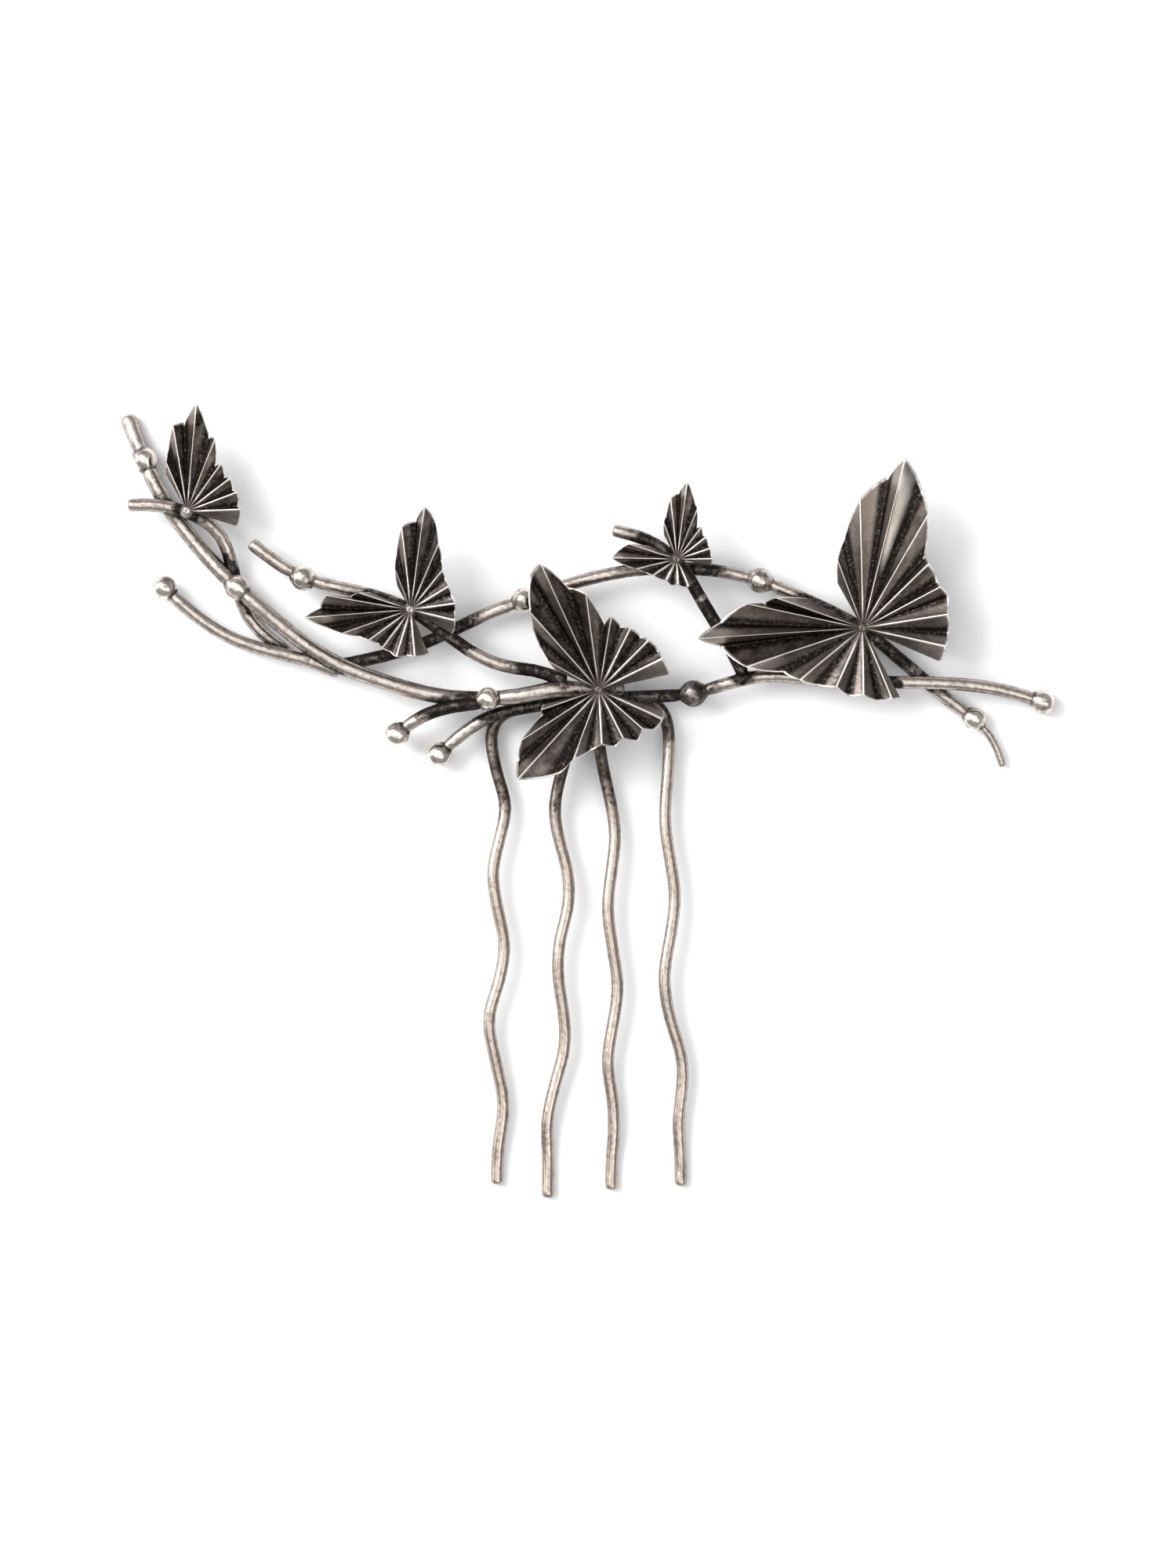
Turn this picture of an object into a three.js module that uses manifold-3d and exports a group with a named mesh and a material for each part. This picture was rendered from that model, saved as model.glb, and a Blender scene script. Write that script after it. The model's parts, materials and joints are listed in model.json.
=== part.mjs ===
// A decorative hair comb: twigs of round wire, ball beads and pleated butterflies,
// soldered into one spray along a bar, with two bent wire forks behind it for the four tines.
// Millimetres. +X runs along the spray to the right, the tines point to -Y and +Z is the front.
// The comb lies on its back: the tine tips, the left stem end and the right end bead touch z = 0.
import * as THREE from "three";
import { mergeVertices } from "three/addons/utils/BufferGeometryUtils.js";
import Module from "manifold-3d";

const wasm = await Module();
wasm.setup();

// ---- Driving dimensions -------------------------------------------------------------------
const SPRAY_WIDTH = 112; // left stem end to right end bead
const TINE_LENGTH = 59.5; // bar to the longest tine's tip
const STEM_DIAMETER = 1.85; // the main stem
const TWIG_DIAMETER = 1.5; // every other twig and the bar
const TENDRIL_DIAMETER = 0.85; // the thin end past the arch's last bead
const TINE_DIAMETER = 1.4;
const BEAD_DIAMETER = 3.0;
const LARGE_BEAD_DIAMETER = 3.2; // the bead on the middle of the bar
const SMALL_BEAD_DIAMETER = 2.7; // the beads on the arch's end and the stem's joint
const SHEET_THICKNESS = 0.5; // the butterflies' pleated sheet, measured straight down
const SOLDER_GAP = 0.1; // clearance that stands for the solder in every joint

// ---- Butterfly pleats ---------------------------------------------------------------------
const HUB_DIAMETER = 1.9; // the pinched middle that all pleats run into
const HUB_RISE = 1.0; // the pleats' meeting point above the wire that the hub sits on
const HUB_CROWN = 0.25; // the hub's rounded top above that point
const HUB_SEAT = 0.3; // the hub's foot above the wire's centre line
const PLEAT_ROOT = 0.5; // distance from the middle at which the pleats start
const PLEAT_DEPTH = 0.13; // a valley's depth for each mm from the middle

// ---- Levels above the surface that the comb lies on ---------------------------------------
const FORK_LEVEL = 1.8; // the forks' bends
const TINE_BOW = 1.0; // how far the tines' middles bow up above the tips
const STEM_END = STEM_DIAMETER / 2;
const STEM_AT_LEFT_TWIG = 2.2;
const STEM_AT_CROSSING_BEAD = 3.4;
const STEM_AT_ARCH = 3.7;
const STEM_AT_JOINT = 4.4;
const ARCH_AT_BRANCH = 2.5;
const ARCH_AT_TOP_TWIG = 3.6;
const BAR_AT_ARCH = 3.6;
const LEFT_TWIG_TAIL = 1.2;

const BAR_AT_FORKS = above(FORK_LEVEL, TINE_DIAMETER, TWIG_DIAMETER);
const STEM_AT_BAR = above(BAR_AT_FORKS, TWIG_DIAMETER, STEM_DIAMETER);
const LEFT_TWIG_AT_STEM = above(STEM_AT_LEFT_TWIG, STEM_DIAMETER, TWIG_DIAMETER);
const LEFT_TWIG_UNDER_STEM = below(STEM_AT_CROSSING_BEAD, STEM_DIAMETER, TWIG_DIAMETER);
const ARCH_START = below(STEM_AT_ARCH, STEM_DIAMETER, TWIG_DIAMETER);
const ARCH_AT_BAR = below(BAR_AT_ARCH, TWIG_DIAMETER, TWIG_DIAMETER);
const BRANCH_AT_ARCH = above(ARCH_AT_BRANCH, TWIG_DIAMETER, TWIG_DIAMETER);
const TOP_TWIG_AT_ARCH = above(ARCH_AT_TOP_TWIG, TWIG_DIAMETER, TWIG_DIAMETER);
const BEAD_TWIG_AT_TWIG = above(LEFT_TWIG_TAIL, TWIG_DIAMETER, TWIG_DIAMETER);

// ---- Fineness of the solids ---------------------------------------------------------------
const WIRE_SIDES = 10;
const WIRE_STEP = 2.2; // length of one straight piece of a wire
const FORK_STEP = 1.1; // the same for the forks, whose bends are tight
const BEAD_SIDES = 14;
const BEAD_RINGS = 10;
const HUB_SIDES = 12;

// The spray is laid out at its drawn width and then scaled to SPRAY_WIDTH.
const DRAWN_WIDTH = 112;
const DRAWN_TINE_LENGTH = 59.5;
const TINE_ROOT = 12; // height of the bar on the drawing, where the tines' length starts
const LAYOUT = SPRAY_WIDTH / DRAWN_WIDTH;

const COLOURS = { wire: 0xb3a59a, tine: 0xbfb0a3, bead: 0xd6cec6, wing: 0x4b4440 };

// ---- Helpers ------------------------------------------------------------------------------
function above(level, lowerDiameter, upperDiameter) {
  return level + lowerDiameter / 2 + SOLDER_GAP + upperDiameter / 2;
}

function below(level, upperDiameter, lowerDiameter) {
  return level - upperDiameter / 2 - SOLDER_GAP - lowerDiameter / 2;
}

function at(x, y, z) {
  return new THREE.Vector3(x * LAYOUT, y * LAYOUT, z);
}

function routeThrough(points) {
  return new THREE.CatmullRomCurve3(points, false, "centripetal");
}

function solidOf(geometry) {
  geometry.deleteAttribute("normal");
  geometry.deleteAttribute("uv");
  const merged = mergeVertices(geometry, 1e-4);
  return new wasm.Manifold(
    new wasm.Mesh({
      numProp: 3,
      vertProperties: merged.attributes.position.array,
      triVerts: new Uint32Array(merged.index.array),
    }),
  );
}

function geometryOf(solid) {
  const { vertProperties, triVerts } = solid.getMesh();
  const geometry = new THREE.BufferGeometry();
  geometry.setAttribute("position", new THREE.BufferAttribute(vertProperties, 3));
  geometry.setIndex(new THREE.BufferAttribute(triVerts, 1));
  geometry.computeVertexNormals();
  return geometry;
}

function roundSection(diameter) {
  const corners = [];
  for (let i = 0; i < WIRE_SIDES; i++) {
    const turn = (2 * Math.PI * i) / WIRE_SIDES;
    const x = (diameter / 2) * Math.cos(turn);
    const y = (diameter / 2) * Math.sin(turn);
    corners.push(new THREE.Vector2(x, y));
  }
  return new THREE.Shape(corners);
}

// A round wire along a route. With grow it is the same wire, thicker all round.
function wireSolid({ route, diameter, step = WIRE_STEP }, grow = 0) {
  const steps = Math.ceil(route.getLength() / step);
  const section = roundSection(diameter + 2 * grow);
  return solidOf(
    new THREE.ExtrudeGeometry(section, { steps, bevelEnabled: false, extrudePath: route }),
  );
}

// ---- Beads: each sits on the wires that it is threaded or soldered on ---------------------
const BEAD_LIST = {
  stem_top_bead: { spot: at(-53.1, 40.9, 1.8), diameter: BEAD_DIAMETER, on: ["main_stem"] },
  crossing_bead: {
    spot: at(-42.0, 25.6, STEM_AT_CROSSING_BEAD),
    diameter: BEAD_DIAMETER,
    on: ["main_stem", "left_twig"],
  },
  left_twig_bead: { spot: at(-50.7, 25.6, 2.3), diameter: BEAD_DIAMETER, on: ["bead_twig"] },
  branch_bead: { spot: at(-34.1, 26.7, 3.9), diameter: BEAD_DIAMETER, on: ["left_branch"] },
  short_twig_bead: { spot: at(-22.9, 8.0, 3.2), diameter: BEAD_DIAMETER, on: ["short_twig"] },
  bar_left_bead: { spot: at(-17.9, 5.6, 2.6), diameter: BEAD_DIAMETER, on: ["lower_bar"] },
  stem_joint_bead: {
    spot: at(-12.0, 12.3, STEM_AT_JOINT + STEM_DIAMETER / 2),
    diameter: SMALL_BEAD_DIAMETER,
    on: ["main_stem", "short_twig"],
  },
  arch_left_bead: { spot: at(-7.6, 24.1, 3.0), diameter: BEAD_DIAMETER, on: ["arch_stem"] },
  bar_middle_bead: {
    spot: at(12.6, 12.9, BAR_AT_FORKS),
    diameter: LARGE_BEAD_DIAMETER,
    on: ["lower_bar"],
  },
  arch_top_bead: { spot: at(20.6, 26.4, 3.9), diameter: BEAD_DIAMETER, on: ["arch_stem"] },
  arch_end_bead: {
    spot: at(46.3, 9.9, 1.6),
    diameter: SMALL_BEAD_DIAMETER,
    on: ["arch_stem", "tendril"],
  },
  bar_right_bead: {
    spot: at(54.5, 11.9, BEAD_DIAMETER / 2),
    diameter: BEAD_DIAMETER,
    on: ["lower_bar"],
  },
};

function spotOf(bead) {
  return BEAD_LIST[bead].spot;
}

// ---- Twigs, bar and tendril: routes of the wires' centre lines ----------------------------
const WIRES = {
  main_stem: {
    diameter: STEM_DIAMETER,
    points: [
      at(-55.2, 46.2, STEM_END),
      at(-54.3, 43.6, 1.3),
      spotOf("stem_top_bead"),
      at(-52.0, 38.2, 2.1),
      at(-50.3, 35.3, STEM_AT_LEFT_TWIG),
      at(-47.9, 32.0, 2.4),
      at(-44.7, 28.3, 2.9),
      spotOf("crossing_bead"),
      at(-38.0, 22.1, 3.5),
      at(-34.0, 18.9, 3.6),
      at(-30.0, 16.4, STEM_AT_ARCH),
      at(-25.0, 14.5, 3.8),
      at(-19.5, 12.9, 4.0),
      at(-15.5, 12.3, 4.2),
      at(-12.0, 12.3, STEM_AT_JOINT),
      at(-8.0, 12.6, STEM_AT_BAR),
      at(-4.0, 13.5, STEM_AT_BAR),
      at(1.3, 13.3, STEM_AT_BAR),
      at(4.3, 13.7, STEM_AT_BAR),
    ],
  },
  left_twig: {
    diameter: TWIG_DIAMETER,
    copedTo: ["main_stem"],
    points: [
      at(-55.0, 35.4, 3.8),
      at(-52.5, 35.5, 3.9),
      at(-50.3, 35.3, LEFT_TWIG_AT_STEM),
      at(-47.9, 34.6, LEFT_TWIG_AT_STEM),
      at(-45.6, 33.5, 3.8),
      at(-44.0, 32.0, 3.4),
      at(-43.0, 29.7, 2.7),
      at(-42.5, 27.7, 2.1),
      at(-42.0, 25.6, LEFT_TWIG_UNDER_STEM),
      at(-41.1, 22.7, 1.4),
      at(-39.4, 20.4, LEFT_TWIG_TAIL),
      at(-36.2, 18.0, LEFT_TWIG_TAIL),
    ],
  },
  bead_twig: {
    diameter: TWIG_DIAMETER,
    copedTo: ["main_stem", "arch_stem"],
    points: [
      spotOf("left_twig_bead"),
      at(-47.6, 22.7, 2.4),
      at(-43.5, 19.9, 2.6),
      at(-39.0, 18.2, BEAD_TWIG_AT_TWIG),
      at(-36.0, 17.5, BEAD_TWIG_AT_TWIG),
      at(-33.0, 16.75, 2.9),
      at(-29.6, 15.6, 3.1),
    ],
  },
  arch_stem: {
    diameter: TWIG_DIAMETER,
    points: [
      at(-30.3, 16.2, ARCH_START),
      at(-25.0, 17.3, 2.1),
      at(-21.0, 18.4, 2.4),
      at(-17.0, 20.1, ARCH_AT_BRANCH),
      at(-12.0, 22.5, 2.7),
      spotOf("arch_left_bead"),
      at(-2.5, 25.9, 3.2),
      at(2.0, 27.1, 3.4),
      at(6.5, 27.8, 3.5),
      at(11.3, 27.9, ARCH_AT_TOP_TWIG),
      at(16.0, 27.5, 3.8),
      spotOf("arch_top_bead"),
      at(24.5, 24.8, 4.0),
      at(28.5, 23.0, 4.1),
      at(32.8, 20.7, 4.0),
      at(36.5, 17.7, 3.1),
      at(40.7, 14.2, ARCH_AT_BAR),
      at(43.6, 11.8, 1.7),
      spotOf("arch_end_bead"),
    ],
  },
  tendril: {
    diameter: TENDRIL_DIAMETER,
    copedTo: ["arch_stem"],
    points: [
      at(46.9, 9.3, 1.5),
      at(48.2, 7.9, 1.3),
      at(49.2, 6.0, 1.0),
      at(49.7, 4.2, 0.8),
    ],
  },
  left_branch: {
    diameter: TWIG_DIAMETER,
    copedTo: ["main_stem"],
    points: [
      at(-40.3, 30.9, 3.4),
      at(-37.6, 28.8, 3.7),
      spotOf("branch_bead"),
      at(-30.0, 25.6, 4.1),
      at(-25.5, 24.6, 4.2),
      at(-21.2, 22.9, 4.2),
      at(-17.0, 20.0, BRANCH_AT_ARCH),
      at(-13.2, 17.4, 4.2),
      at(-9.5, 16.0, 4.5),
      at(-5.8, 15.6, 4.9),
      at(-2.6, 14.2, STEM_AT_BAR),
    ],
  },
  short_twig: {
    diameter: TWIG_DIAMETER,
    copedTo: ["main_stem"],
    points: [
      spotOf("short_twig_bead"),
      at(-20.3, 10.0, 4.0),
      at(-17.3, 11.1, 5.0),
      at(-14.6, 11.6, 5.5),
      at(-12.2, 11.9, 5.2),
    ],
  },
  lower_bar: {
    diameter: TWIG_DIAMETER,
    points: [
      spotOf("bar_left_bead"),
      at(-14.8, 8.3, 3.1),
      at(-11.6, 10.3, BAR_AT_FORKS),
      at(-7.0, 11.3, BAR_AT_FORKS),
      at(-1.0, 12.1, BAR_AT_FORKS),
      at(6.0, 12.5, BAR_AT_FORKS),
      spotOf("bar_middle_bead"),
      at(17.0, 14.2, 3.6),
      at(21.5, 15.1, 3.9),
      at(28.0, 14.5, 3.9),
      at(35.0, 14.25, 3.8),
      at(40.7, 14.2, BAR_AT_ARCH),
      at(47.0, 13.8, 2.9),
      at(51.3, 12.9, 2.1),
      spotOf("bar_right_bead"),
    ],
  },
  top_twig: {
    diameter: TWIG_DIAMETER,
    copedTo: ["lower_bar"],
    points: [
      at(3.0, 32.4, 4.8),
      at(6.0, 31.7, 5.0),
      at(8.6, 30.4, TOP_TWIG_AT_ARCH),
      at(10.6, 28.9, TOP_TWIG_AT_ARCH),
      at(11.7, 27.4, TOP_TWIG_AT_ARCH),
      at(13.3, 24.5, 5.0),
      at(15.3, 21.2, 4.7),
      at(17.2, 18.0, 4.3),
      at(18.6, 15.0, 3.9),
    ],
  },
};

// ---- Forks: each is one wire, bent at the top, whose two legs are wavy tines --------------
// A tine's points are its bends from the root down. The last two share x, so its tip is square.
const OUTER_LEFT_TINE = [
  [-11.7, 7.8],
  [-10.8, 3.0],
  [-9.8, -0.5],
  [-10.5, -4.2],
  [-11.45, -8.5],
  [-10.8, -13.0],
  [-9.95, -17.2],
  [-10.6, -21.4],
  [-11.95, -26.0],
  [-11.1, -31.0],
  [-10.1, -36.2],
  [-10.8, -41.5],
  [-10.9, -43.6],
  [-10.9, -45.9],
];
const INNER_LEFT_TINE = [
  [-2.2, 6.8],
  [-3.3, 3.0],
  [-4.05, -1.0],
  [-3.4, -4.9],
  [-2.4, -8.6],
  [-2.3, -12.2],
  [-3.45, -17.0],
  [-3.6, -21.0],
  [-2.85, -25.8],
  [-2.8, -29.6],
  [-4.0, -34.0],
  [-4.95, -38.6],
  [-4.8, -42.5],
  [-4.8, -47.5],
];
const INNER_RIGHT_TINE = [
  [1.3, 7.0],
  [1.8, 4.0],
  [2.7, 0.0],
  [3.3, -4.0],
  [2.85, -8.2],
  [2.35, -12.6],
  [3.0, -18.0],
  [3.6, -22.4],
  [2.95, -26.9],
  [2.3, -31.4],
  [3.0, -36.0],
  [3.1, -39.6],
  [2.8, -43.2],
  [2.8, -46.6],
];
const OUTER_RIGHT_TINE = [
  [9.7, 8.2],
  [9.6, 4.0],
  [9.25, -0.5],
  [9.25, -3.2],
  [9.9, -7.4],
  [10.45, -11.5],
  [9.9, -16.0],
  [9.1, -21.0],
  [9.8, -26.0],
  [11.1, -30.0],
  [11.4, -33.0],
  [10.8, -38.4],
  [11.1, -43.2],
  [11.1, -46.1],
];

function tinePoint([x, y]) {
  const fallen = (TINE_ROOT - y) * (TINE_LENGTH / DRAWN_TINE_LENGTH);
  return new THREE.Vector3(x * LAYOUT, TINE_ROOT * LAYOUT - fallen, 0);
}

// The tines bow up in the middle, so that only their tips rest on the surface.
function tineRoute(bends) {
  const points = bends.map(tinePoint);
  const rootY = points[0].y;
  const tipY = points.at(-1).y;
  const tipLevel = TINE_DIAMETER / 2;
  for (const point of points) {
    const share = (rootY - point.y) / (rootY - tipY);
    const bow = TINE_BOW * Math.sin(Math.PI * share);
    point.z = FORK_LEVEL + (tipLevel - FORK_LEVEL) * share + bow;
  }
  points.at(-2).z = tipLevel;
  return points;
}

function forkRoute(leftTine, bend, rightTine) {
  return routeThrough([...tineRoute(leftTine).reverse(), ...bend, ...tineRoute(rightTine)]);
}

// The outer fork's bend runs close behind the bar.
function outerForkRoute() {
  const bend = [
    at(-11.2, 9.7, FORK_LEVEL),
    at(-10.0, 10.7, FORK_LEVEL),
    at(-7.0, 11.3, FORK_LEVEL),
    at(-1.0, 12.1, FORK_LEVEL),
    at(5.0, 12.4, FORK_LEVEL),
    at(7.8, 12.0, FORK_LEVEL),
    at(9.2, 10.6, FORK_LEVEL),
  ];
  return forkRoute(OUTER_LEFT_TINE, bend, OUTER_RIGHT_TINE);
}

// The inner fork's bend nests under the outer one and touches it at the top.
function innerForkRoute() {
  const touchX = -0.2;
  const outerBendY = 12.15 * LAYOUT;
  const topY = outerBendY - TINE_DIAMETER - SOLDER_GAP;
  const bendRadius = 1.45 * LAYOUT;
  const bendPoint = (aside, drop) => {
    const x = touchX * LAYOUT + aside * bendRadius;
    return new THREE.Vector3(x, topY - drop * bendRadius, FORK_LEVEL);
  };
  const bend = [
    bendPoint(-1, 1),
    bendPoint(-0.5, 0.08),
    bendPoint(0, 0),
    bendPoint(0.5, 0),
    bendPoint(1, 0.8),
  ];
  return forkRoute(INNER_LEFT_TINE, bend, INNER_RIGHT_TINE);
}

// ---- Butterflies: wings of [bearing, reach] points round the hub, in degrees and mm --------
// Each rim runs valley, ridge, valley and so on, and starts and ends with a valley at a free edge.
// heading is the bearing of the body that the wings fold up from, and lift is their tilt.
const BUTTERFLIES = {
  twig_butterfly: {
    seat: at(-47.9, 34.7, LEFT_TWIG_AT_STEM),
    wire: "left_twig",
    heading: 140,
    wings: [
      {
        lift: 16,
        rim: [
          [120, 5.2], [113, 6.2], [106, 7.9], [99, 10.3], [91.5, 10.5],
          [84.5, 13], [72.5, 9.2], [68, 9.2], [57, 6.4], [53.5, 7],
          [41, 6.1], [36.5, 6.5], [24, 6.1], [20, 6.4], [5, 6.2],
          [1.5, 6.5], [-17, 6.2],
        ],
      },
    ],
  },
  branch_butterfly: {
    seat: at(-21.2, 22.9, 4.2),
    wire: "left_branch",
    heading: 134,
    wings: [
      {
        lift: 20,
        rim: [
          [119.5, 3.2], [111, 5.2], [104, 6.9], [96, 9.9], [86.5, 10.7],
          [82, 12.5], [73.5, 10.9], [66.5, 8.5], [57.5, 7], [50.5, 6],
          [42, 5.6], [31, 5.3], [20, 5.2], [7.5, 5.4], [-3, 5.3],
          [-13.5, 5.5], [-30, 5.8],
        ],
      },
      {
        lift: 14,
        rim: [
          [157, 5.2], [162, 6.5], [168, 7.4], [170.5, 10.2], [179, 10.9],
          [184.5, 12.7], [192, 10.3], [199.5, 8.6], [208, 6.9], [216.5, 6.1],
          [227, 5.6], [234, 5.7], [244, 5.6], [253.5, 5.9], [266, 5.5],
          [275.5, 5.6], [292.5, 5.7],
        ],
      },
    ],
  },
  centre_butterfly: {
    seat: at(1.3, 13.3, STEM_AT_BAR),
    wire: "main_stem",
    heading: 171,
    wings: [
      {
        lift: 18,
        rim: [
          [156, 5.5], [150.5, 6.9], [141, 9.6], [131.7, 12.3], [121.5, 15.8],
          [114.8, 16.6], [106.5, 12.7], [97.7, 11.5], [85, 7.9], [80.5, 8.9],
          [71, 8], [63, 8.25], [52, 8.1], [45, 8.35], [34, 8.5],
          [26.5, 8.4], [12.5, 8.6],
        ],
      },
      {
        lift: 14,
        rim: [
          [195, 6.9], [199, 7.3], [203.5, 7.4], [213, 11], [221, 12.9],
          [227.7, 14.5], [245, 11], [249.7, 8.8], [262, 7.3], [273, 6.5],
          [286, 7.05], [296.7, 6.4], [307.5, 7.7], [318.5, 6.9], [325, 8.2],
          [335.5, 8.4], [342, 8.2],
        ],
      },
    ],
  },
  top_butterfly: {
    seat: at(10.6, 28.9, TOP_TWIG_AT_ARCH),
    wire: "top_twig",
    heading: 132,
    wings: [
      {
        lift: 18,
        rim: [
          [118, 3.3], [110, 4.6], [104, 5.3], [96, 7.3], [88.5, 7.9],
          [82.5, 9.4], [71, 6.9], [68, 6.4], [57, 4.4], [53, 4.8],
          [42, 4.2], [37.5, 4.3], [24, 4.1], [18, 4.1], [6, 4.1],
          [0.5, 4.2], [-10, 4.1],
        ],
      },
      {
        lift: 14,
        rim: [
          [154, 3.6], [162.5, 6], [170, 6.9], [179, 7.8], [186, 6.4],
          [193.5, 5], [204, 4], [214, 3.4], [228, 3.1], [243.5, 2.8],
          [259, 3.2], [273, 3], [284, 3.4], [293, 3.6], [304, 3.4],
        ],
      },
    ],
  },
  right_butterfly: {
    seat: at(32.8, 20.7, 4.0),
    wire: "arch_stem",
    heading: 130,
    wings: [
      {
        lift: 16,
        rim: [
          [119, 6.2], [110.5, 8.6], [102, 10.9], [91.5, 15.4], [80.5, 18.4],
          [76.3, 21], [67, 18], [60.3, 15.5], [49, 11.2], [44.5, 10.9],
          [32, 10.5], [28, 10.4], [20, 10.9], [9, 10.2], [-3, 10.3],
          [-12.5, 10.1], [-23.5, 10.1],
        ],
      },
      {
        lift: 14,
        rim: [
          [152, 7.6], [161, 11.1], [166, 12.2], [168.3, 14.2], [178, 17.2],
          [183.8, 19.8], [187.5, 17.2], [198.5, 14.8], [209, 10.9], [219.3, 9.8],
          [232, 8.7], [245.7, 7.7], [258, 8.3], [270.7, 8], [283, 9],
          [292.5, 9.1], [298.5, 9.5],
        ],
      },
    ],
  },
};

// A wing's outer edge: valleys and ridges by turns, from a valley to a valley, in order of bearing.
function rimOf({ rim }) {
  const points = rim.map(([bearing, reach], i) => ({
    bearing,
    reach,
    drop: i % 2 === 0 ? PLEAT_DEPTH : 0,
  }));
  return rim[0][0] < rim[rim.length - 1][0] ? points : points.reverse();
}

// One pleated wing: a fan of flat panels, folded at its ridges and valleys.
function wingSolid(middle, heading, wing) {
  const rim = rimOf(wing);
  const slope = Math.tan(THREE.MathUtils.degToRad(wing.lift));
  const cornerOf = ({ bearing, drop }, reach, depth) => {
    const turn = THREE.MathUtils.degToRad(bearing);
    const aside = reach * Math.abs(Math.sin(turn - THREE.MathUtils.degToRad(heading)));
    return [
      middle.x + reach * Math.cos(turn),
      middle.y + reach * Math.sin(turn),
      middle.z + aside * slope - drop * reach - depth,
    ];
  };
  const corners = rim.flatMap((point) => [
    cornerOf(point, PLEAT_ROOT, 0),
    cornerOf(point, point.reach, 0),
    cornerOf(point, point.reach, SHEET_THICKNESS),
    cornerOf(point, PLEAT_ROOT, SHEET_THICKNESS),
  ]);
  const last = 4 * (rim.length - 1);
  const faces = [[0, 3, 2], [0, 2, 1], [last, last + 1, last + 2], [last, last + 2, last + 3]];
  for (let here = 0; here < last; here += 4) {
    for (let side = 0; side < 4; side++) {
      const next = (side + 1) % 4;
      faces.push([here + side, here + next, here + 4 + next]);
      faces.push([here + side, here + 4 + next, here + 4 + side]);
    }
  }
  const geometry = new THREE.BufferGeometry();
  geometry.setAttribute("position", new THREE.Float32BufferAttribute(corners.flat(), 3));
  geometry.setIndex(faces.flat());
  return solidOf(geometry);
}

// The pinched middle: a short round post with a domed top.
function hubSolid(seat, middle) {
  const radius = HUB_DIAMETER / 2;
  const foot = seat.z + HUB_SEAT;
  const shoulder = middle.z - HUB_CROWN;
  const top = middle.z + HUB_CROWN;
  const profile = [
    new THREE.Vector2(0, foot),
    new THREE.Vector2(radius, foot),
    new THREE.Vector2(radius, shoulder),
    new THREE.Vector2(radius * 0.7, middle.z + HUB_CROWN / 2),
    new THREE.Vector2(0, top),
  ];
  const post = new THREE.LatheGeometry(profile, HUB_SIDES);
  post.rotateX(Math.PI / 2);
  post.translate(middle.x, middle.y, 0);
  return solidOf(post);
}

function butterflySolid({ seat, wire, heading, wings }) {
  const rise = WIRES[wire].diameter / 2 + HUB_RISE;
  const middle = new THREE.Vector3(seat.x, seat.y, seat.z + rise);
  let solid = hubSolid(seat, middle);
  for (const wing of wings) {
    solid = solid.add(wingSolid(middle, heading, wing));
  }
  return solid.subtract(wireSolid(wireOf(wire), SOLDER_GAP));
}

// ---- Assembly -----------------------------------------------------------------------------
function wireOf(name) {
  const { points, diameter } = WIRES[name];
  return { route: routeThrough(points), diameter };
}

function twigSolid(name) {
  let solid = wireSolid(wireOf(name));
  for (const neighbour of WIRES[name].copedTo ?? []) {
    solid = solid.subtract(wireSolid(wireOf(neighbour), SOLDER_GAP));
  }
  return solid;
}

function beadSolid({ spot, diameter, on }) {
  const ball = new THREE.SphereGeometry(diameter / 2, BEAD_SIDES, BEAD_RINGS);
  ball.translate(spot.x, spot.y, spot.z);
  let solid = solidOf(ball);
  for (const wire of on) {
    solid = solid.subtract(wireSolid(wireOf(wire), SOLDER_GAP));
  }
  return solid;
}

const comb = new THREE.Group();

function addPart(name, solid, colour, roughness) {
  const material = new THREE.MeshStandardMaterial({ color: colour, metalness: 1, roughness });
  const mesh = new THREE.Mesh(geometryOf(solid), material);
  mesh.name = name;
  comb.add(mesh);
}

const tineWire = { diameter: TINE_DIAMETER, step: FORK_STEP };
addPart("outer_fork", wireSolid({ ...tineWire, route: outerForkRoute() }), COLOURS.tine, 0.35);
addPart("inner_fork", wireSolid({ ...tineWire, route: innerForkRoute() }), COLOURS.tine, 0.35);
for (const name of Object.keys(WIRES)) {
  addPart(name, twigSolid(name), COLOURS.wire, 0.4);
}
for (const [name, bead] of Object.entries(BEAD_LIST)) {
  addPart(name, beadSolid(bead), COLOURS.bead, 0.2);
}
for (const [name, butterfly] of Object.entries(BUTTERFLIES)) {
  addPart(name, butterflySolid(butterfly), COLOURS.wing, 0.45);
}

// The origin is under the middle of the comb, on the surface that it lies on.
const box = new THREE.Box3().setFromObject(comb);
const centre = box.getCenter(new THREE.Vector3());
comb.position.set(-centre.x, -centre.y, -box.min.z);

export default comb;
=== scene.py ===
import json
import math
import bmesh
import bpy
import numpy as np
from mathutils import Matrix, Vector, noise
from mathutils.bvhtree import BVHTree


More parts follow.
